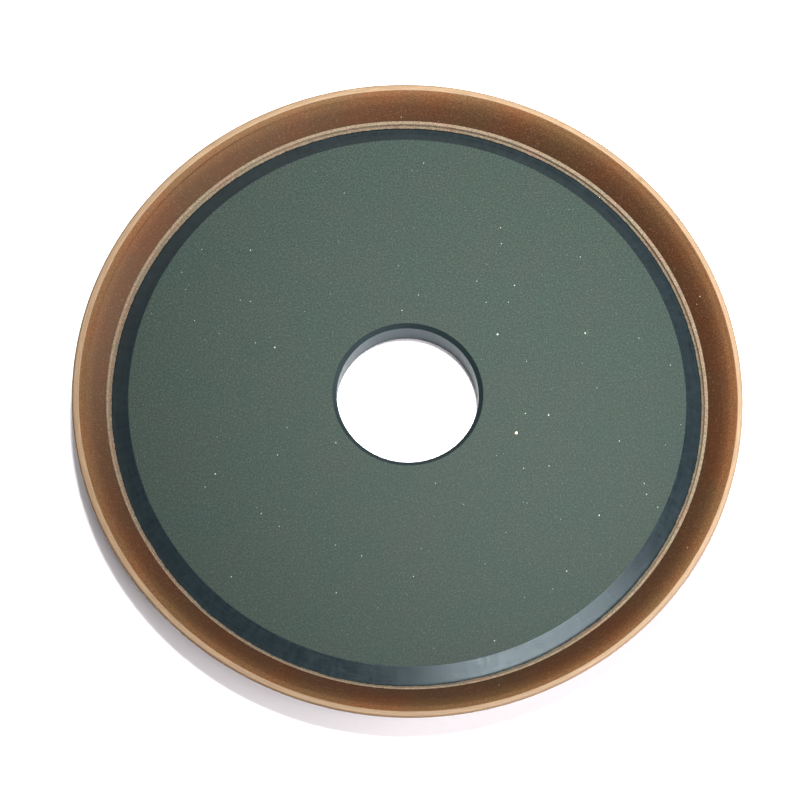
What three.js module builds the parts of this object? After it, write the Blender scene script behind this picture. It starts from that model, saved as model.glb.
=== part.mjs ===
// A resin-bonded diamond dish grinding wheel, for sharpening and lapping on a flange-mounted spindle.
//
// The wheel lies on its flat back. Its axis is Z, its back face is z = 0 and its grinding lip faces +Z.
// It is three rings moulded onto each other: the core with its bore, a thin ring of bond without diamond,
// and the diamond rim. Every piece is a solid of revolution, drawn here as a half section of (radius, height)
// points that runs anticlockwise and closes on itself. Lengths are millimetres.

import * as THREE from "three";

// ---- driving dimensions ----

const WHEEL_DIAMETER = 150;
const BORE_DIAMETER = 32;
const WHEEL_HEIGHT = 12.5;
const HUB_THICKNESS = 8;

const LAND_WIDTH = 1.1;
const LAND_OUTER_BEVEL = 0.3;
const LIP_STEP = 0.2;
const SHOULDER_WIDTH = 0.7;
const SHOULDER_RISE = 0.15;
const PERIPHERY_DROP = 0.6;
const BACK_CONE_ANGLE = 50;

const CORE_DIAMETER = 133.6;
const CORE_BEVEL_WIDTH = 4;
const CORE_BEVEL_DROP = 2;
const BORE_BEVEL_WIDTH = 1;
const BORE_BEVEL_DROP = 0.8;
const BACK_BORE_BEVEL = 0.5;

const BOND_RING_WIDTH = 1;
const BOND_RING_RISE = 1.7;
const BOND_TOP_WIDTH = 0.4;

const KEY_DEPTH = 1.2;
const KEY_MOUTH = 1.4;
const KEY_FLARE = 0.25;
const KEY_HEIGHT = 4.1;

const TURNS = 96;

// ---- sizes worked out from them ----

const WHEEL_RADIUS = WHEEL_DIAMETER / 2;
const BORE_RADIUS = BORE_DIAMETER / 2;
const CORE_RADIUS = CORE_DIAMETER / 2;
const BOND_RADIUS = CORE_RADIUS + BOND_RING_WIDTH;
const CORE_EDGE_HEIGHT = HUB_THICKNESS - CORE_BEVEL_DROP;
const BACK_CONE_SLOPE = Math.tan(THREE.MathUtils.degToRad(BACK_CONE_ANGLE));

// Height of the conical back at a radius, and the radius where it meets the flat back face.
function backConeHeight(radius) {
  return WHEEL_HEIGHT - PERIPHERY_DROP - (WHEEL_RADIUS - radius) * BACK_CONE_SLOPE;
}

const BACK_FACE_RADIUS = WHEEL_RADIUS - (WHEEL_HEIGHT - PERIPHERY_DROP) / BACK_CONE_SLOPE;

// ---- the shared joint lines ----

// Dovetail key between core and bond ring, from the front of the seat to its back: the ring's tongue is
// wider at its root in the core than at its mouth, so the ring can't be thrown off.
function keySeat() {
  const mouth = KEY_MOUTH / 2;
  const root = mouth + KEY_FLARE;
  return [
    [CORE_RADIUS, CORE_EDGE_HEIGHT],
    [CORE_RADIUS, KEY_HEIGHT + mouth],
    [CORE_RADIUS - KEY_DEPTH, KEY_HEIGHT + root],
    [CORE_RADIUS - KEY_DEPTH, KEY_HEIGHT - root],
    [CORE_RADIUS, KEY_HEIGHT - mouth],
    [CORE_RADIUS, backConeHeight(CORE_RADIUS)],
  ];
}

// Cylindrical joint between bond ring and diamond rim, from front to back.
function rimSeat() {
  return [
    [BOND_RADIUS, CORE_EDGE_HEIGHT + BOND_RING_RISE],
    [BOND_RADIUS, backConeHeight(BOND_RADIUS)],
  ];
}

// ---- half sections ----

function coreSection() {
  return [
    [BORE_RADIUS + BACK_BORE_BEVEL, 0],
    [BACK_FACE_RADIUS, 0],
    ...keySeat().reverse(),
    [CORE_RADIUS - CORE_BEVEL_WIDTH, HUB_THICKNESS],
    [BORE_RADIUS + BORE_BEVEL_WIDTH, HUB_THICKNESS],
    [BORE_RADIUS, HUB_THICKNESS - BORE_BEVEL_DROP],
    [BORE_RADIUS, BACK_BORE_BEVEL],
  ];
}

// The bond ring's front is a steep wall with a narrow flat top, where the cone begins.
function bondSection() {
  const topInner = [BOND_RADIUS - BOND_TOP_WIDTH, CORE_EDGE_HEIGHT + BOND_RING_RISE];
  return [...keySeat(), ...rimSeat().reverse(), topInner];
}

// The cone ends in a nearly level shoulder, and the lip land stands a small step above it.
function rimSection() {
  const landOuter = WHEEL_RADIUS - LAND_OUTER_BEVEL;
  const landInner = landOuter - LAND_WIDTH;
  const shoulderOuter = landInner - LIP_STEP;
  const shoulderTop = WHEEL_HEIGHT - LIP_STEP;
  return [
    ...rimSeat(),
    [WHEEL_RADIUS, WHEEL_HEIGHT - PERIPHERY_DROP],
    [WHEEL_RADIUS, WHEEL_HEIGHT - LAND_OUTER_BEVEL],
    [landOuter, WHEEL_HEIGHT],
    [landInner, WHEEL_HEIGHT],
    [shoulderOuter, shoulderTop],
    [shoulderOuter - SHOULDER_WIDTH, shoulderTop - SHOULDER_RISE],
  ];
}

// ---- pieces ----

function turned(name, section, finish) {
  const loop = [...section, section[0]].map(([radius, height]) => new THREE.Vector2(radius, height));
  const geometry = new THREE.LatheGeometry(loop, TURNS);
  geometry.rotateX(Math.PI / 2);
  const mesh = new THREE.Mesh(geometry, new THREE.MeshStandardMaterial(finish));
  mesh.name = name;
  return mesh;
}

const wheel = new THREE.Group();
wheel.name = "diamond_dish_wheel";
wheel.add(
  turned("core_body", coreSection(), { color: 0x5e6d64, roughness: 0.7, metalness: 0 }),
  turned("bond_ring", bondSection(), { color: 0xc8a582, roughness: 0.85, metalness: 0 }),
  turned("diamond_rim", rimSection(), { color: 0x8a5f3f, roughness: 0.6, metalness: 0 }),
);

export default wheel;
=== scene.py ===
"""The looks of a resin-bonded diamond dish grinding wheel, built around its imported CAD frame.

Every length is in metres, in the frame of the CAD: the wheel lies on its back on z = 0, its axis is Z
and its grinding lip faces up. A bearing is an angle round the axis from +X. Radii and heights of the
pieces are read from the frame.
"""

import math
import random

import bmesh
import bpy
import numpy as np
from mathutils import Matrix, Vector, noise


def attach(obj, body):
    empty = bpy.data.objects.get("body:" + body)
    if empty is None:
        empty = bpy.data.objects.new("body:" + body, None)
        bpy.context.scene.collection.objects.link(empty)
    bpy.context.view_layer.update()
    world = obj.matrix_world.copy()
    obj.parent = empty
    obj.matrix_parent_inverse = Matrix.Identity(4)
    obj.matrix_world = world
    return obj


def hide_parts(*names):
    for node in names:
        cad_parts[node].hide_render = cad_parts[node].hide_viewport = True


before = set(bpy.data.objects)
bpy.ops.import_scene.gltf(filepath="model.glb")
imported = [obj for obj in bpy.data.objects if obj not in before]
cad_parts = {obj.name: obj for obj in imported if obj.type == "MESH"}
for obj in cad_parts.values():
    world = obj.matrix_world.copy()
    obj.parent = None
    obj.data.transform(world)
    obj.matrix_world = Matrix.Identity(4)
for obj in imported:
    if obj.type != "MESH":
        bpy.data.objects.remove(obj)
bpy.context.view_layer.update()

MM = 0.001


# ---- radii and heights from the frame ----

def circles(node):
    """The (radius, height) of every circle of corners on a turned CAD node."""
    corners = (vertex.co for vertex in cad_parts[node].data.vertices)
    return {(round(math.hypot(co.x, co.y), 5), round(co.z, 5)) for co in corners}


def radii_at(places, height):
    """The radii of the circles at a height, smallest first."""
    return sorted(radius for radius, z in places if z == height)


def heights_at(places, radius):
    """The heights of the circles on a radius, lowest first."""
    return sorted(z for r, z in places if r == radius)


core_circles = circles("core_body")
bond_circles = circles("bond_ring")
rim_circles = circles("diamond_rim")

HUB_TOP = max(z for r, z in core_circles)
BORE_RADIUS = min(r for r, z in core_circles)
CORE_RADIUS = max(r for r, z in core_circles)
BOND_RADIUS = max(r for r, z in bond_circles)
WHEEL_RADIUS = max(r for r, z in rim_circles)
LIP_TOP = max(z for r, z in rim_circles)

BORE_BACK, BORE_FRONT = heights_at(core_circles, BORE_RADIUS)
BACK_INNER, BACK_OUTER = radii_at(core_circles, 0)
FACE_INNER, FACE_OUTER = radii_at(core_circles, HUB_TOP)
CORE_BACK = heights_at(core_circles, CORE_RADIUS)[0]
CORE_FRONT = heights_at(core_circles, CORE_RADIUS)[-1]
BOND_BACK, BOND_FRONT = heights_at(bond_circles, BOND_RADIUS)
BOND_TOP_INNER = radii_at(bond_circles, BOND_FRONT)[0]
LAND_INNER, LAND_OUTER = radii_at(rim_circles, LIP_TOP)
PERIPHERY_BACK, PERIPHERY_FRONT = heights_at(rim_circles, WHEEL_RADIUS)
SHOULDER_INNER, SHOULDER_OUTER = sorted(c for c in rim_circles if BOND_RADIUS < c[0] < LAND_INNER)

CORE_BEVEL_SLOPE = (HUB_TOP - CORE_FRONT) / (CORE_RADIUS - FACE_OUTER)
SHOULDER_SLOPE = (SHOULDER_OUTER[1] - SHOULDER_INNER[1]) / (SHOULDER_OUTER[0] - SHOULDER_INNER[0])
CONE_SLOPE = (SHOULDER_INNER[1] - BOND_FRONT) / (SHOULDER_INNER[0] - BOND_RADIUS)


# ---- camera, lights and floor ----

VIEW_EYE = Vector((-0.00167, -0.19007, 0.5431))
VIEW_TILT = math.radians(19.394)
VIEW_ROLL = math.radians(3.975)
VIEW_LENS = 113.5
VIEW_SENSOR = 36
VIEW_CLIP_START = 0.01

LAMP_BEARING = 62
LAMP_ELEVATION = 83
LAMP_DISTANCE = 0.9
LAMP_RADIUS = 0.06
LAMP_BEAM = math.radians(28)
LAMP_POWER = 88
LAMP_AIM_BEARING = 38
LAMP_AIM_OUT = 0.09

# The soft windows, as (name, bearing, elevation, distance, (width, height), power), angles in degrees.
WINDOWS = [
    ("side_right", 10, 12, 0.9, (0.3, 0.2), 7.2),
    ("side_lower_right", 320, 12, 0.9, (0.3, 0.2), 4.7),
    ("window_upper_left", 125, 60, 0.9, (0.3, 0.3), 1.3),
    ("window_lower_right", 315, 50, 0.7, (0.46, 0.24), 3.5),
]
WINDOW_COLOUR = (1.0, 0.96, 0.995)
WORLD_STRENGTH = 0.15

FLOOR_SIZE = 3
FLOOR_DROP = 0.05 * MM
FLOOR_COLOUR = (0.97, 0.96, 0.975, 1)
FLOOR_ROUGHNESS = 0.3
FLOOR_SHINE = 0.6


def make_camera():
    data = bpy.data.cameras.new("camera")
    data.lens = VIEW_LENS
    data.sensor_width = VIEW_SENSOR
    data.clip_start = VIEW_CLIP_START
    camera = bpy.data.objects.new("camera", data)
    turn = Matrix.Rotation(VIEW_TILT, 4, "X") @ Matrix.Rotation(VIEW_ROLL, 4, "Z")
    camera.matrix_world = Matrix.Translation(VIEW_EYE) @ turn
    bpy.context.scene.collection.objects.link(camera)
    bpy.context.scene.camera = camera


def around(bearing, elevation, distance):
    """The point at this bearing and elevation, in degrees, and at this distance from the origin."""
    turn, rise = math.radians(bearing), math.radians(elevation)
    level = distance * math.cos(rise)
    return Vector((level * math.cos(turn), level * math.sin(turn), distance * math.sin(rise)))


def add_light(data, position, target):
    light = bpy.data.objects.new(data.name, data)
    light.location = position
    light.rotation_euler = (position - target).to_track_quat("Z", "Y").to_euler()
    light.visible_camera = False
    bpy.context.scene.collection.objects.link(light)


def make_window(name, bearing, elevation, distance, size, power):
    """A soft rectangular light that looks at the middle of the wheel."""
    data = bpy.data.lights.new(name, "AREA")
    data.shape = "RECTANGLE"
    data.size, data.size_y = size
    data.energy = power
    data.color = WINDOW_COLOUR
    add_light(data, around(bearing, elevation, distance), Vector((0, 0, 0)))


def make_lamp():
    """The main light, a soft spotlight aimed right of the wheel's middle, whose beam fades to its edge."""
    data = bpy.data.lights.new("main_lamp", "SPOT")
    data.spot_size = LAMP_BEAM
    data.spot_blend = 1
    data.shadow_soft_size = LAMP_RADIUS
    data.energy = LAMP_POWER
    target = around(LAMP_AIM_BEARING, 0, LAMP_AIM_OUT)
    add_light(data, around(LAMP_BEARING, LAMP_ELEVATION, LAMP_DISTANCE), target)


def make_lights():
    make_lamp()
    for window in WINDOWS:
        make_window(*window)


def make_world():
    world = bpy.data.worlds.new("studio")
    world.use_nodes = True
    background = world.node_tree.nodes["Background"]
    background.inputs["Color"].default_value = (1, 1, 1, 1)
    background.inputs["Strength"].default_value = WORLD_STRENGTH
    bpy.context.scene.world = world


def make_floor():
    half = FLOOR_SIZE / 2
    corners = [(-half, -half), (half, -half), (half, half), (-half, half)]
    mesh = bpy.data.meshes.new("floor")
    mesh.from_pydata([(x, y, -FLOOR_DROP) for x, y in corners], [], [(0, 1, 2, 3)])
    floor = bpy.data.objects.new("floor", mesh)
    bpy.context.scene.collection.objects.link(floor)
    paper, tree, shader = new_material("floor_paper")
    shader.inputs["Base Color"].default_value = FLOOR_COLOUR
    shader.inputs["Roughness"].default_value = FLOOR_ROUGHNESS
    shader.inputs["Specular IOR Level"].default_value = FLOOR_SHINE
    mesh.materials.append(paper)


# ---- material building blocks ----

# The Mix node's sockets for its factor, its two colours and its resulting colour.
MIX_FACTOR, MIX_FIRST, MIX_SECOND, MIX_RESULT = 0, 6, 7, 2

# Nearly all values of a noise lie in this range.
NOISE_RANGE = (0.3, 0.7)

SPECKLE_SOFTNESS = 0.08


def new_material(name):
    made = bpy.data.materials.new(name)
    made.use_nodes = True
    return made, made.node_tree, made.node_tree.nodes["Principled BSDF"]


def add(tree, kind, inputs, **settings):
    """Adds a node; an input is a number, a tuple or another node's output socket."""
    made = tree.nodes.new(kind)
    for key, value in settings.items():
        setattr(made, key, value)
    for socket, value in inputs.items():
        if isinstance(value, bpy.types.NodeSocket):
            tree.links.new(value, made.inputs[socket])
        else:
            made.inputs[socket].default_value = value
    return made


def paint(tree, shader, colour):
    """Gives the shader this colour socket as its base colour."""
    tree.links.new(colour, shader.inputs["Base Color"])


def place(tree):
    """The point on the wheel, in metres."""
    return add(tree, "ShaderNodeTexCoord", {}).outputs["Object"]


def flat_place(tree):
    """The point on the wheel with its height left out, and that height."""
    across, along, height = add(tree, "ShaderNodeSeparateXYZ", {0: place(tree)}).outputs
    flat = add(tree, "ShaderNodeCombineXYZ", {"X": across, "Y": along, "Z": 0.0}).outputs[0]
    return flat, height


def length_of(tree, vector):
    return add(tree, "ShaderNodeVectorMath", {0: vector}, operation="LENGTH").outputs["Value"]


def distance_out(tree):
    """Distance from the wheel's axis, in metres."""
    flat, _ = flat_place(tree)
    return length_of(tree, flat)


def calculate(tree, operation, first, second):
    return add(tree, "ShaderNodeMath", {0: first, 1: second}, operation=operation).outputs[0]


def weighted(tree, *parts):
    """The sum of the (value, weight) parts."""
    total, *others = [calculate(tree, "MULTIPLY", value, weight) for value, weight in parts]
    for other in others:
        total = calculate(tree, "ADD", total, other)
    return total


def spread(tree, value, low, high, out_low=0.0, out_high=1.0):
    """Stretches a value from low..high to out_low..out_high, and cuts it off there."""
    inputs = {0: value, 1: low, 2: high, 3: out_low, 4: out_high}
    return add(tree, "ShaderNodeMapRange", inputs).outputs[0]


def grain(tree, size, detail=2.0, roughness=0.5):
    """Noise with features of about this size, from 0 to 1."""
    inputs = {"Vector": place(tree), "Scale": 1 / size, "Detail": detail, "Roughness": roughness}
    return add(tree, "ShaderNodeTexNoise", inputs).outputs["Fac"]


def speckle(tree, size, threshold, strength):
    """Scattered small spots, the peaks of a noise above this threshold, from 0 to this strength."""
    peaks = grain(tree, size, detail=0.0)
    return spread(tree, peaks, threshold, threshold + SPECKLE_SOFTNESS, 0.0, strength)


def turning_marks(tree, width, length):
    """Noise drawn out round the axis, as a lathe tool or grinding wheel leaves it."""
    flat, height = flat_place(tree)
    unit = add(tree, "ShaderNodeVectorMath", {0: flat}, operation="NORMALIZE").outputs[0]
    across, along, _ = add(tree, "ShaderNodeSeparateXYZ", {0: unit}).outputs
    stretch = WHEEL_RADIUS / length
    axes = {
        "X": calculate(tree, "MULTIPLY", length_of(tree, flat), 1 / width),
        "Y": calculate(tree, "MULTIPLY", height, 1 / width),
        "Z": calculate(tree, "MULTIPLY", across, stretch),
    }
    inputs = {
        "Vector": add(tree, "ShaderNodeCombineXYZ", axes).outputs[0],
        "W": calculate(tree, "MULTIPLY", along, stretch),
        "Scale": 1.0,
        "Detail": 2.0,
    }
    return add(tree, "ShaderNodeTexNoise", inputs, noise_dimensions="4D").outputs["Fac"]


def ramp(tree, factor, stops):
    """A smooth change of colour; stops are (position, (red, green, blue))."""
    made = add(tree, "ShaderNodeValToRGB", {"Fac": factor})
    elements = made.color_ramp.elements
    while len(elements) < len(stops):
        elements.new(0.5)
    for element, (position, colour) in zip(elements, stops):
        element.position = position
        element.color = (*colour, 1)
    return made.outputs["Color"]


def blend(tree, factor, first, second):
    """Mixes a colour socket with a (red, green, blue) second colour."""
    inputs = {MIX_FACTOR: factor, MIX_FIRST: first, MIX_SECOND: (*second, 1)}
    return add(tree, "ShaderNodeMix", inputs, data_type="RGBA").outputs[MIX_RESULT]


def tint(tree, colour, shade):
    """Multiplies one colour socket by another."""
    inputs = {MIX_FACTOR: 1.0, MIX_FIRST: colour, MIX_SECOND: shade}
    made = add(tree, "ShaderNodeMix", inputs, data_type="RGBA", blend_type="MULTIPLY")
    return made.outputs[MIX_RESULT]


def vary_roughness(tree, shader, value, smoothest, roughest):
    """Lets the roughness follow a noise between these two values."""
    rough = spread(tree, value, *NOISE_RANGE, smoothest, roughest)
    tree.links.new(rough, shader.inputs["Roughness"])


def roughen(tree, shader, height, depth, strength):
    """Bump of this depth in metres under the shader."""
    inputs = {"Height": height, "Distance": depth, "Strength": strength}
    bump = add(tree, "ShaderNodeBump", inputs)
    tree.links.new(bump.outputs["Normal"], shader.inputs["Normal"])


# ---- materials ----

MACHINED_TINT = (0.80, 0.98, 1.0, 1)
COPPER_TINT = (1.0, 0.70, 0.46, 1)

# The lip land is darker at its outer edge, from this far inside its radius to this far outside it.
EDGE_DARK_INSIDE = 0.16 * MM
EDGE_DARK_OUTSIDE = 0.02 * MM
EDGE_DARK_SHARE = 0.45


def moulded_face():
    """The matt grey-green ground face of the moulded core, with mineral filler showing in it."""
    made, tree, shader = new_material("moulded_face")
    fine = grain(tree, 0.38 * MM, detail=3.0, roughness=0.7)
    resin = ramp(tree, fine, [
        (0.36, (0.0042, 0.0104, 0.0074)),
        (0.50, (0.0114, 0.0226, 0.0170)),
        (0.64, (0.0236, 0.0425, 0.0338)),
    ])
    clouding = ramp(tree, grain(tree, 11 * MM, detail=3.0), [
        (0.35, (0.93, 1.03, 1.03)),
        (0.52, (1.00, 1.02, 0.97)),
        (0.68, (1.12, 0.99, 1.03)),
    ])
    filler = speckle(tree, 0.4 * MM, threshold=0.68, strength=0.16)
    paint(tree, shader, blend(tree, filler, tint(tree, resin, clouding), (0.108, 0.127, 0.108)))
    vary_roughness(tree, shader, fine, 0.52, 0.68)
    shader.inputs["Specular IOR Level"].default_value = 0.18
    roughen(tree, shader, fine, depth=0.04 * MM, strength=0.55)
    return made


def machined_core(name, dark, light, gloss, shine):
    """A blue-black turned surface of the core, whose roughness varies between the two values of gloss."""
    made, tree, shader = new_material(name)
    marks = turning_marks(tree, width=0.22 * MM, length=5 * MM)
    smears = turning_marks(tree, width=3.5 * MM, length=1.4 * MM)
    pits = grain(tree, 0.45 * MM, detail=1.0)
    rough = weighted(tree, (marks, 0.45), (smears, 0.40), (pits, 0.15))
    paint(tree, shader, ramp(tree, rough, [(0.32, dark), (0.68, light)]))
    vary_roughness(tree, shader, rough, *gloss)
    shader.inputs["Specular IOR Level"].default_value = shine
    shader.inputs["Specular Tint"].default_value = MACHINED_TINT
    roughen(tree, shader, rough, depth=0.05 * MM, strength=0.3)
    return made


def core_finishes():
    """The core's materials, in the order of FLAT, EDGE_BEVEL, BORE_WALL and BORE_BEVEL."""
    return [
        moulded_face(),
        machined_core(
            "edge_bevel",
            dark=(0.0035, 0.0077, 0.0100),
            light=(0.0077, 0.0154, 0.0196),
            gloss=(0.25, 0.41),
            shine=0.72,
        ),
        machined_core(
            "bore_wall",
            dark=(0.0012, 0.0115, 0.0155),
            light=(0.0036, 0.0198, 0.0245),
            gloss=(0.35, 0.50),
            shine=0.12,
        ),
        machined_core(
            "bore_bevel",
            dark=(0.0032, 0.0071, 0.0079),
            light=(0.0065, 0.0128, 0.0139),
            gloss=(0.50, 0.65),
            shine=0.18,
        ),
    ]


def plain_bond():
    """The beige, grainy bond that holds no diamond."""
    made, tree, shader = new_material("plain_bond")
    fine = grain(tree, 0.34 * MM, detail=4.0, roughness=0.75)
    base = ramp(tree, fine, [
        (0.30, (0.0385, 0.0262, 0.0154)),
        (0.44, (0.115, 0.0824, 0.0531)),
        (0.60, (0.176, 0.131, 0.0840)),
        (0.76, (0.298, 0.241, 0.166)),
    ])
    drift = ramp(tree, grain(tree, 7 * MM), [
        (0.35, (1.06, 0.96, 0.92)),
        (0.65, (0.95, 1.03, 1.00)),
    ])
    paint(tree, shader, tint(tree, base, drift))
    shader.inputs["Roughness"].default_value = 0.85
    roughen(tree, shader, fine, depth=0.08 * MM, strength=0.7)
    return made


def diamond_bond():
    """The copper-brown bond with diamond grit, as moulded, with painted shade at the cone's foot and
    painted light growing towards the lip.
    """
    made, tree, shader = new_material("diamond_bond")
    fine = grain(tree, 0.3 * MM, detail=4.0, roughness=0.7)
    base = ramp(tree, fine, [
        (0.30, (0.0208, 0.0083, 0.0034)),
        (0.50, (0.0362, 0.0152, 0.0067)),
        (0.72, (0.0631, 0.0285, 0.0131)),
    ])
    drift = ramp(tree, grain(tree, 13 * MM), [
        (0.36, (1.10, 0.93, 0.84)),
        (0.50, (1.00, 1.00, 1.00)),
        (0.64, (0.93, 1.04, 1.00)),
    ])
    # Painted shade darkens the cone's foot beside the bond ring, and painted light brightens it towards
    # the lip, where it faces up.
    outward = spread(tree, distance_out(tree), BOND_RADIUS, SHOULDER_OUTER[0])
    painted_foot_shade_and_lip_light = ramp(tree, outward, [
        (0.00, (0.80, 0.80, 0.80)),
        (0.45, (1.10, 1.10, 1.10)),
        (1.00, (2.50, 2.80, 2.55)),
    ])
    bond = tint(tree, tint(tree, base, drift), painted_foot_shade_and_lip_light)
    grit = speckle(tree, 0.45 * MM, threshold=0.68, strength=0.15)
    paint(tree, shader, blend(tree, grit, bond, (0.185, 0.115, 0.0655)))
    vary_roughness(tree, shader, fine, 0.46, 0.62)
    shader.inputs["Specular IOR Level"].default_value = 0.31
    shader.inputs["Specular Tint"].default_value = COPPER_TINT
    roughen(tree, shader, fine, depth=0.05 * MM, strength=0.6)
    return made


def dressed_bond():
    """The same bond freshly dressed on the lip land, where it is much lighter."""
    made, tree, shader = new_material("dressed_bond")
    fine = grain(tree, 0.26 * MM, detail=4.0, roughness=0.7)
    marks = turning_marks(tree, width=0.18 * MM, length=4 * MM)
    mixed = weighted(tree, (fine, 0.5), (marks, 0.5))
    base = ramp(tree, mixed, [
        (0.35, (0.135, 0.0770, 0.0323)),
        (0.50, (0.196, 0.120, 0.0554)),
        (0.68, (0.262, 0.171, 0.0886)),
    ])
    # The land's colour darkens at its outer edge.
    start, end = LAND_OUTER - EDGE_DARK_INSIDE, LAND_OUTER + EDGE_DARK_OUTSIDE
    edge_dark = spread(tree, distance_out(tree), start, end, 0.0, EDGE_DARK_SHARE)
    paint(tree, shader, blend(tree, edge_dark, base, (0.0847, 0.0462, 0.0231)))
    shader.inputs["Roughness"].default_value = 0.6
    roughen(tree, shader, mixed, depth=0.03 * MM, strength=0.5)
    return made


def mineral(name, dark, light):
    """A grain of light mineral set in the surface."""
    made, tree, shader = new_material(name)
    paint(tree, shader, ramp(tree, grain(tree, 0.25 * MM), [(0.3, dark), (0.7, light)]))
    shader.inputs["Roughness"].default_value = 0.35
    return made


# ---- turned meshes ----

ARC_STEPS = 5
JOINT_ROUNDING = 0.05 * MM

# Points this far beside each rounding keep the smooth shading of the faces next to it level.
GUARD = 0.06 * MM

# A strip this close to a face or an edge counts as lying on it.
EDGE_MARGIN = 0.02 * MM


def rounded(corners):
    """A closed outline whose (radius, height, rounding) corners are cut back by their rounding."""
    points = [Vector((radius, height)) for radius, height, _ in corners]
    outline = []
    for index, (_, _, rounding) in enumerate(corners):
        corner = points[index]
        before = (points[index - 1] - corner).normalized()
        after = (points[(index + 1) % len(points)] - corner).normalized()
        start, end = corner + before * rounding, corner + after * rounding
        outline.append(start + before * GUARD)
        for step in range(ARC_STEPS + 1):
            way = step / ARC_STEPS
            outline.append(start.lerp(corner, way).lerp(corner.lerp(end, way), way))
        outline.append(end + after * GUARD)
    return outline


def divided(outline, pieces_in):
    """The same closed outline, with each stretch cut into the number of pieces that pieces_in gives."""
    points = []
    for index, point in enumerate(outline):
        following = outline[(index + 1) % len(outline)]
        pieces = pieces_in(point, following)
        points += [point.lerp(following, step / pieces) for step in range(pieces)]
    return points


def turned(name, outline, turns, materials, finish_of, relief):
    """A closed ring swept from an anticlockwise outline, and then moved by its relief.

    finish_of gives the index of the material from the middle of a strip of the outline.
    """
    angle, radius = np.meshgrid(
        np.arange(turns) * math.tau / turns, [point.x for point in outline], indexing="ij"
    )
    height = np.broadcast_to([point.y for point in outline], radius.shape).copy()
    radius, height = relief(radius, height, angle)
    places = np.stack([radius * np.cos(angle), radius * np.sin(angle), height], axis=-1)
    count = len(outline)
    here = np.arange(turns * count).reshape(turns, count)
    onward = np.roll(here, -1, axis=0)
    quads = np.stack([here, onward, np.roll(onward, -1, axis=1), np.roll(here, -1, axis=1)], axis=-1)
    mesh = bpy.data.meshes.new(name)
    mesh.from_pydata(places.reshape(-1, 3).tolist(), [], quads.reshape(-1, 4).tolist())
    for material in materials:
        mesh.materials.append(material)
    strips = [finish_of((outline[i] + outline[(i + 1) % count]) / 2) for i in range(count)]
    mesh.polygons.foreach_set("material_index", np.tile(strips, turns))
    mesh.polygons.foreach_set("use_smooth", np.ones(turns * count, bool))
    mesh.update()
    made = bpy.data.objects.new(name, mesh)
    bpy.context.scene.collection.objects.link(made)
    return made


def install(piece, node):
    """Puts a piece on the wheel's one body in the place of its CAD node."""
    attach(piece, "root")
    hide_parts(node)


# ---- relief shared by the rings ----

JOINT_RUNOUT = 0.28 * MM
JOINT_RUNOUT_BEARING = math.radians(245)
JOINT_RUNOUT_REACH = math.radians(75)


def ring_noise(angle, waves, seed):
    """Smooth noise of about this many waves round the wheel, from -1 to 1, for an array of angles."""
    reach = waves / math.tau
    values = [
        noise.noise((reach * math.cos(turn), reach * math.sin(turn), seed))
        for turn in angle[:, 0]
    ]
    return np.array(values)[:, None]


def surface_noise(radius, height, angle, size, seed):
    """Smooth noise with features of about this size, for arrays of places on a turned surface."""
    across = (radius * np.cos(angle)) / size
    along = (radius * np.sin(angle)) / size
    upward = height / size + seed
    places = zip(across.ravel(), along.ravel(), upward.ravel())
    return np.array([noise.noise(point) for point in places]).reshape(radius.shape)


def bump_at(values, middle, reach):
    """1 at the middle, falling smoothly to 0 at this reach from it."""
    nearness = np.clip(1 - np.abs(values - middle) / reach, 0, 1)
    return nearness * nearness * (3 - 2 * nearness)


def part_way(values, start, end):
    """0 at the start and before it, 1 at the end and beyond it, and even in between."""
    return np.clip((values - start) / (end - start), 0, 1)


def turn_from(bearing, angle):
    """The signed angle from a bearing to an angle, at most half a turn."""
    return (angle - bearing + math.pi) % math.tau - math.pi


def joint_shift(angle):
    """How far the joint between core and bond ring lies outside its true radius, round the wheel."""
    return JOINT_RUNOUT * bump_at(turn_from(JOINT_RUNOUT_BEARING, angle), 0, JOINT_RUNOUT_REACH)


# ---- core ----

CORE_TURNS = 1200
CORE_ROUNDING = 0.12 * MM
CORE_BACK_MARGIN = 0.1 * MM
BORE_MARGIN = 0.1 * MM
FLAT, EDGE_BEVEL, BORE_WALL, BORE_BEVEL = range(4)


def core_finish(middle):
    """The index of the core's material at the middle of a strip."""
    if middle.y > HUB_TOP - EDGE_MARGIN or middle.y < EDGE_MARGIN:
        return FLAT
    if middle.x < BORE_RADIUS + BORE_MARGIN:
        return BORE_WALL
    return BORE_BEVEL if middle.x < FACE_INNER else EDGE_BEVEL


def widened(radius, height, angle):
    """Stretches the edge bevel to where the joint with the bond ring really lies."""
    outward = part_way(radius, FACE_OUTER, CORE_RADIUS)
    return radius + joint_shift(angle) * outward * (height > CORE_BACK + CORE_BACK_MARGIN), height


def make_core():
    outline = rounded([
        (BORE_RADIUS, BORE_BACK, CORE_ROUNDING),
        (BACK_INNER, 0, CORE_ROUNDING),
        (BACK_OUTER, 0, CORE_ROUNDING),
        (CORE_RADIUS, CORE_BACK, JOINT_ROUNDING),
        (CORE_RADIUS, CORE_FRONT, JOINT_ROUNDING),
        (FACE_OUTER, HUB_TOP, CORE_ROUNDING),
        (FACE_INNER, HUB_TOP, CORE_ROUNDING),
        (BORE_RADIUS, BORE_FRONT, CORE_ROUNDING),
    ])
    core = turned("core", outline, CORE_TURNS, core_finishes(), core_finish, widened)
    install(core, "core_body")


# ---- bond ring ----

BOND_TURNS = 1700
BOND_STEP = 0.16 * MM
BOND_BACK_STEP = 1.5 * MM
FRONT_MARGIN = 0.1 * MM
BOND_RIM_ROUNDING = 0.04 * MM
BOND_TOP_ROUNDING = 0.24 * MM
BOND_FOOT_ROUNDING = 0.08 * MM

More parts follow.
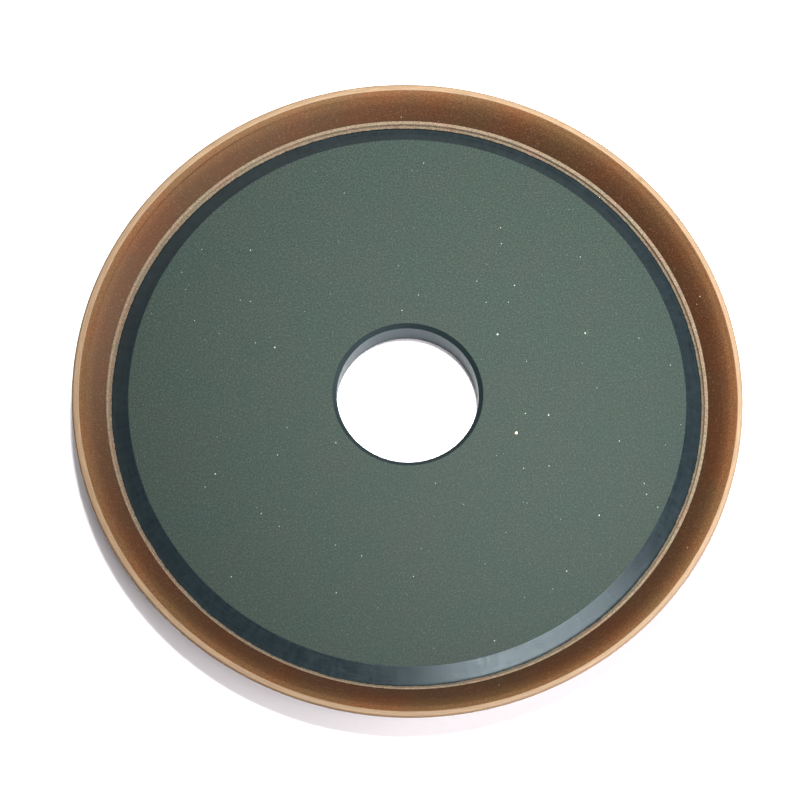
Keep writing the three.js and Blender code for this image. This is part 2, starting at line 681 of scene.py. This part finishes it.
# The flash is the thin skin of bond that lies over the core's bevel inside the joint.
FLASH_WIDTH = 0.22 * MM
FLASH_EXTRA = 0.22 * MM
FLASH_SPREAD = 0.20 * MM
FLASH_LIFT = 0.03 * MM
FLASH_REACH = 0.35 * MM
FLASH_FADE = 0.15 * MM

# The flash's edge wanders in waves of (share, waves round the wheel, seed).
FLASH_WAVES = [(0.5, 90, 3.0), (0.5, 420, 8.0), (0.3, 1100, 5.0)]

CRUMBLE = 0.07 * MM
CRUMBLE_OUT = 0.8
CRUMBLE_UP = 0.5
CRUMBLE_FADE_UP = 0.3 * MM
CRUMBLE_FADE_IN = 0.2 * MM

# The crumbs are noises of (share, size, seed).
CRUMB_SIZES = [(1.0, 0.35 * MM, 11.0), (0.6, 0.17 * MM, 4.0)]

TOP_EXTRA = 0.2 * MM
TOP_RUNOUT = 0.25 * MM
TOP_RUNOUT_BEARING = math.radians(50)
TOP_FALL = 0.12 * MM
TOP_LEVEL_AT = 0.4
TOP_DEPTH = 0.1 * MM


def flash_wander(angle):
    """How the flash's edge wanders round the wheel, in waves of three lengths."""
    return sum(share * ring_noise(angle, waves, seed) for share, waves, seed in FLASH_WAVES)


def crumbs(radius, height, angle):
    """Coarse and fine crumbs of the ring's front, about -1.6 to 1.6."""
    return sum(
        share * surface_noise(radius, height, angle, size, seed) for share, size, seed in CRUMB_SIZES
    )


def crumbled(radius, height, angle):
    """Breaks up the ring's front: its flash wanders over the core's bevel, and its grains stand out."""
    shown = part_way(height, CORE_FRONT - FLASH_FADE, CORE_FRONT + FLASH_FADE)
    near_joint = bump_at(radius, CORE_RADIUS, FLASH_REACH) * shown
    extra = FLASH_EXTRA * (0.5 + 0.5 * np.cos(angle - TOP_RUNOUT_BEARING))
    flash = np.clip(FLASH_WIDTH + extra + FLASH_SPREAD * flash_wander(angle), 0, None) * near_joint
    loose = part_way(height, CORE_FRONT, CORE_FRONT + CRUMBLE_FADE_UP)
    loose = loose * part_way(radius, BOND_RADIUS, BOND_RADIUS - CRUMBLE_FADE_IN)
    crumble = CRUMBLE * crumbs(radius, height, angle) * loose
    across = part_way(radius, BOND_TOP_INNER, BOND_RADIUS)
    widening = TOP_EXTRA + TOP_RUNOUT * np.cos(angle - TOP_RUNOUT_BEARING)
    wide_top = widening * part_way(height, CORE_FRONT, BOND_FRONT) * (1 - across)
    top_fall = TOP_FALL * (TOP_LEVEL_AT - across) * (height > BOND_FRONT - TOP_DEPTH)
    pushed = joint_shift(angle) * part_way(radius, BOND_RADIUS, CORE_RADIUS) * (height > BOND_BACK)
    out = radius - flash - crumble * CRUMBLE_OUT - wide_top + pushed
    up = height + flash * CORE_BEVEL_SLOPE + FLASH_LIFT * near_joint + crumble * CRUMBLE_UP + top_fall
    return out, up


def bond_pieces(point, following):
    """Short pieces on the ring's sloping front, and long ones elsewhere."""
    middle, length = (point + following) / 2, (following - point).length
    on_front = CORE_RADIUS < middle.x < BOND_RADIUS and middle.y > CORE_FRONT - FRONT_MARGIN
    return max(1, round(length / BOND_STEP) if on_front else math.ceil(length / BOND_BACK_STEP))


def make_bond():
    outline = divided(rounded([
        (CORE_RADIUS, CORE_BACK, JOINT_ROUNDING),
        (BOND_RADIUS, BOND_BACK, JOINT_ROUNDING),
        (BOND_RADIUS, BOND_FRONT, BOND_RIM_ROUNDING),
        (BOND_TOP_INNER, BOND_FRONT, BOND_TOP_ROUNDING),
        (CORE_RADIUS, CORE_FRONT, BOND_FOOT_ROUNDING),
    ]), bond_pieces)
    bond = turned("bond", outline, BOND_TURNS, [plain_bond()], lambda middle: 0, crumbled)
    install(bond, "bond_ring")


# ---- diamond rim ----

RIM_TURNS = 900
CONE_STEP = 0.5 * MM
RIM_BACK_ROUNDING = 0.1 * MM
LIP_ROUNDING = 0.08 * MM
LAND_ROUNDING = 0.06 * MM
STEP_ROUNDING = 0.05 * MM
SHOULDER_ROUNDING = 0.15 * MM
AS_MOULDED, DRESSED = range(2)

RUNOUT_BEARING = math.radians(12)
RUNOUT_MIDDLE = -0.15 * MM
RUNOUT = 0.6 * MM
RUNOUT_START = 70.6 * MM
SHOULDER_TILT = 0.10 * MM
STEP_RUNOUT = 0.2 * MM
STEP_RUNOUT_BEARING = math.radians(330)
STEP_FOOT_MARGIN = 0.04 * MM
CONE_BULGE = 0.14 * MM

LAND_CROWN = 0.03 * MM
LAND_DEPTH = 0.4 * MM
LAND_MARGIN = 0.05 * MM

# Nicks in the lip, as (bearing, distance out, length round the lip, width, depth), lengths in millimetres.
NICKS = [
    (48, 74.3, 1.5, 1.0, 0.30),
    (21, 74.5, 0.8, 0.5, 0.15),
    (65, 74.6, 0.9, 0.45, 0.15),
    (131, 74.6, 1.2, 0.5, 0.15),
    (227, 74.5, 1.0, 0.5, 0.14),
    (286, 74.6, 0.9, 0.5, 0.14),
]


def land_wear(radius, height, angle):
    """How deep the lip land is worn, by its crown and its nicks."""
    across = part_way(radius, LAND_INNER, LAND_OUTER)
    wear = LAND_CROWN * (2 * across - 1) ** 2
    for bearing, middle, length, width, depth in NICKS:
        away = turn_from(math.radians(bearing), angle)
        along = bump_at(away * WHEEL_RADIUS, 0, length * MM)
        wear = wear + along * bump_at(radius, middle * MM, width * MM) * depth * MM
    return wear * (height > LIP_TOP - LAND_DEPTH) * (radius > LAND_INNER - LAND_MARGIN)


def worn_lip(radius, height, angle):
    """Bulges the cone, lets the shoulder and the step run out of true, and wears the lip land."""
    corner, outer = SHOULDER_INNER[0], SHOULDER_OUTER[0]
    on_cone = radius < corner
    front = height > PERIPHERY_BACK
    rising = part_way(radius, RUNOUT_START, corner)
    falling = part_way(radius, outer, corner)
    runout = RUNOUT_MIDDLE + RUNOUT * np.cos(angle - RUNOUT_BEARING)
    shift = runout * np.where(on_cone, rising, falling)
    slope = np.where(on_cone, SHOULDER_SLOPE * rising, SHOULDER_SLOPE)
    step = STEP_RUNOUT * np.cos(angle - STEP_RUNOUT_BEARING)
    step = step * part_way(radius, corner, outer) * part_way(radius, LAND_OUTER, LAND_INNER)
    bulge = CONE_BULGE * np.sin(math.pi * part_way(radius, BOND_RADIUS, corner))
    tilt = np.where(on_cone, -rising, 1 - 2 * falling) * (radius <= outer + STEP_FOOT_MARGIN)
    out = radius + (shift + step) * front
    up = height + (shift * slope + bulge + SHOULDER_TILT * tilt) * front
    return out, up - land_wear(radius, height, angle)


def rim_finish(middle):
    """The index of the rim's material at the middle of a strip."""
    on_land = middle.x > LAND_INNER - EDGE_MARGIN and middle.y > PERIPHERY_FRONT
    return DRESSED if on_land else AS_MOULDED


def rim_pieces(point, following):
    return max(1, math.ceil((following - point).length / CONE_STEP))


def make_rim():
    outline = divided(rounded([
        (BOND_RADIUS, BOND_BACK, JOINT_ROUNDING),
        (WHEEL_RADIUS, PERIPHERY_BACK, RIM_BACK_ROUNDING),
        (WHEEL_RADIUS, PERIPHERY_FRONT, LIP_ROUNDING),
        (LAND_OUTER, LIP_TOP, LIP_ROUNDING),
        (LAND_INNER, LIP_TOP, LAND_ROUNDING),
        (*SHOULDER_OUTER, STEP_ROUNDING),
        (*SHOULDER_INNER, SHOULDER_ROUNDING),
        (BOND_RADIUS, BOND_FRONT, JOINT_ROUNDING),
    ]), rim_pieces)
    rim = turned("rim", outline, RIM_TURNS, [diamond_bond(), dressed_bond()], rim_finish, worn_lip)
    install(rim, "diamond_rim")


# ---- mineral grains in the faces ----

# Grains are (bearing, distance out, width), in degrees and millimetres. These stand out in the core's
# front face, and the first of them is the gold-coloured one.
LARGE_GRAINS = [
    (343, 26, 0.75), (24, 43, 0.6), (164, 32, 0.5), (355, 32, 0.5), (39, 25, 0.65), (330, 51, 0.5),
    (51, 36, 0.45), (208, 47, 0.45), (292, 60, 0.4), (44, 52, 0.4), (140, 50, 0.4), (220, 20, 0.4),
    (314, 54, 0.4), (66, 46, 0.35), (340, 58, 0.35), (88, 24, 0.35), (255, 49, 0.35), (290, 22, 0.35),
]
CONE_GRAINS = [(23, 70.5, 0.4), (22, 69.4, 0.3), (95, 68.5, 0.25), (333, 71.4, 0.4), (290, 70.0, 0.25)]

SMALL_GRAINS = 150
SMALL_SEED = 150
SMALL_WIDTH = 0.14
SMALL_WIDTH_SPREAD = 0.22
BORE_CLEARANCE = 1.5
BEVEL_CLEARANCE = 1

GRAIN_SIDES = 7
GRAIN_SQUASH = (0.7, 1.0)
GRAIN_RAGGEDNESS = (0.8, 1.1)
GRAIN_SINK = 0.01 * MM
GRAIN_PROUD = 0.02 * MM
GRAIN_CROWN = 0.09
GRAIN_ROOT = 0.25


def front_height(radius):
    """Height of the wheel's front surface at a radius, on the core's flat face or the cone."""
    if radius < FACE_OUTER:
        return HUB_TOP
    return BOND_FRONT + (radius - BOND_RADIUS) * CONE_SLOPE


def set_grain(form, chance, bearing, radius, width):
    """Adds one low, irregular, closed stone that stands a little out of the surface."""
    outward = Vector((math.cos(bearing), math.sin(bearing), 0))
    slope = 0 if radius < FACE_OUTER else CONE_SLOPE
    normal = (Vector((0, 0, 1)) - outward * slope).normalized()
    sideways = Vector((-outward.y, outward.x, 0))
    uphill = sideways.cross(normal)
    middle = outward * radius + Vector((0, 0, front_height(radius)))
    turn = chance.uniform(0, math.tau)
    squash = chance.uniform(*GRAIN_SQUASH)
    ring = []
    for side in range(GRAIN_SIDES):
        angle = turn + side * math.tau / GRAIN_SIDES
        reach = width / 2 * chance.uniform(*GRAIN_RAGGEDNESS)
        spot = sideways * reach * math.cos(angle) + uphill * reach * squash * math.sin(angle)
        ring.append(form.verts.new(middle + spot - normal * GRAIN_SINK))
    top = form.verts.new(middle + normal * (GRAIN_PROUD + width * GRAIN_CROWN))
    bottom = form.verts.new(middle - normal * width * GRAIN_ROOT)
    for side in range(GRAIN_SIDES):
        here, following = ring[side], ring[(side + 1) % GRAIN_SIDES]
        form.faces.new((here, following, top))
        form.faces.new((following, here, bottom))


def make_grains(name, spots, finish):
    """One mesh of all these (bearing, distance out, width) grains, shaped from the name as a seed."""
    form = bmesh.new()
    chance = random.Random(name)
    for bearing, radius, width in spots:
        set_grain(form, chance, math.radians(bearing), radius * MM, width * MM)
    bmesh.ops.recalc_face_normals(form, faces=form.faces)
    mesh = bpy.data.meshes.new(name)
    form.to_mesh(mesh)
    form.free()
    mesh.materials.append(finish)
    grains = bpy.data.objects.new(name, mesh)
    bpy.context.scene.collection.objects.link(grains)
    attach(grains, "root")


def scattered_grains():
    """Small grains spread evenly over the core's front face, most of them tiny."""
    chance = random.Random(SMALL_SEED)
    inner, outer = FACE_INNER / MM + BORE_CLEARANCE, FACE_OUTER / MM - BEVEL_CLEARANCE
    spots = []
    for _ in range(SMALL_GRAINS):
        radius = math.sqrt(chance.uniform(inner ** 2, outer ** 2))
        bearing = chance.uniform(0, 360)
        width = SMALL_WIDTH + SMALL_WIDTH_SPREAD * chance.random() ** 2
        spots.append((bearing, radius, width))
    return spots


def make_all_grains():
    pale = mineral("pale_mineral", (0.193, 0.223, 0.193), (0.370, 0.408, 0.362))
    gold = mineral("gold_mineral", (0.85, 0.55, 0.26), (0.98, 0.84, 0.60))
    sand = mineral("sand_mineral", (0.323, 0.231, 0.146), (0.477, 0.370, 0.269))
    make_grains("core_grains", LARGE_GRAINS[1:] + scattered_grains(), pale)
    make_grains("gold_grain", LARGE_GRAINS[:1], gold)
    make_grains("cone_grains", CONE_GRAINS, sand)


# ---- the whole scene ----

make_camera()
make_world()
make_lights()
make_floor()
make_core()
make_bond()
make_rim()
make_all_grains()

bpy.context.scene.view_settings.view_transform = "Standard"
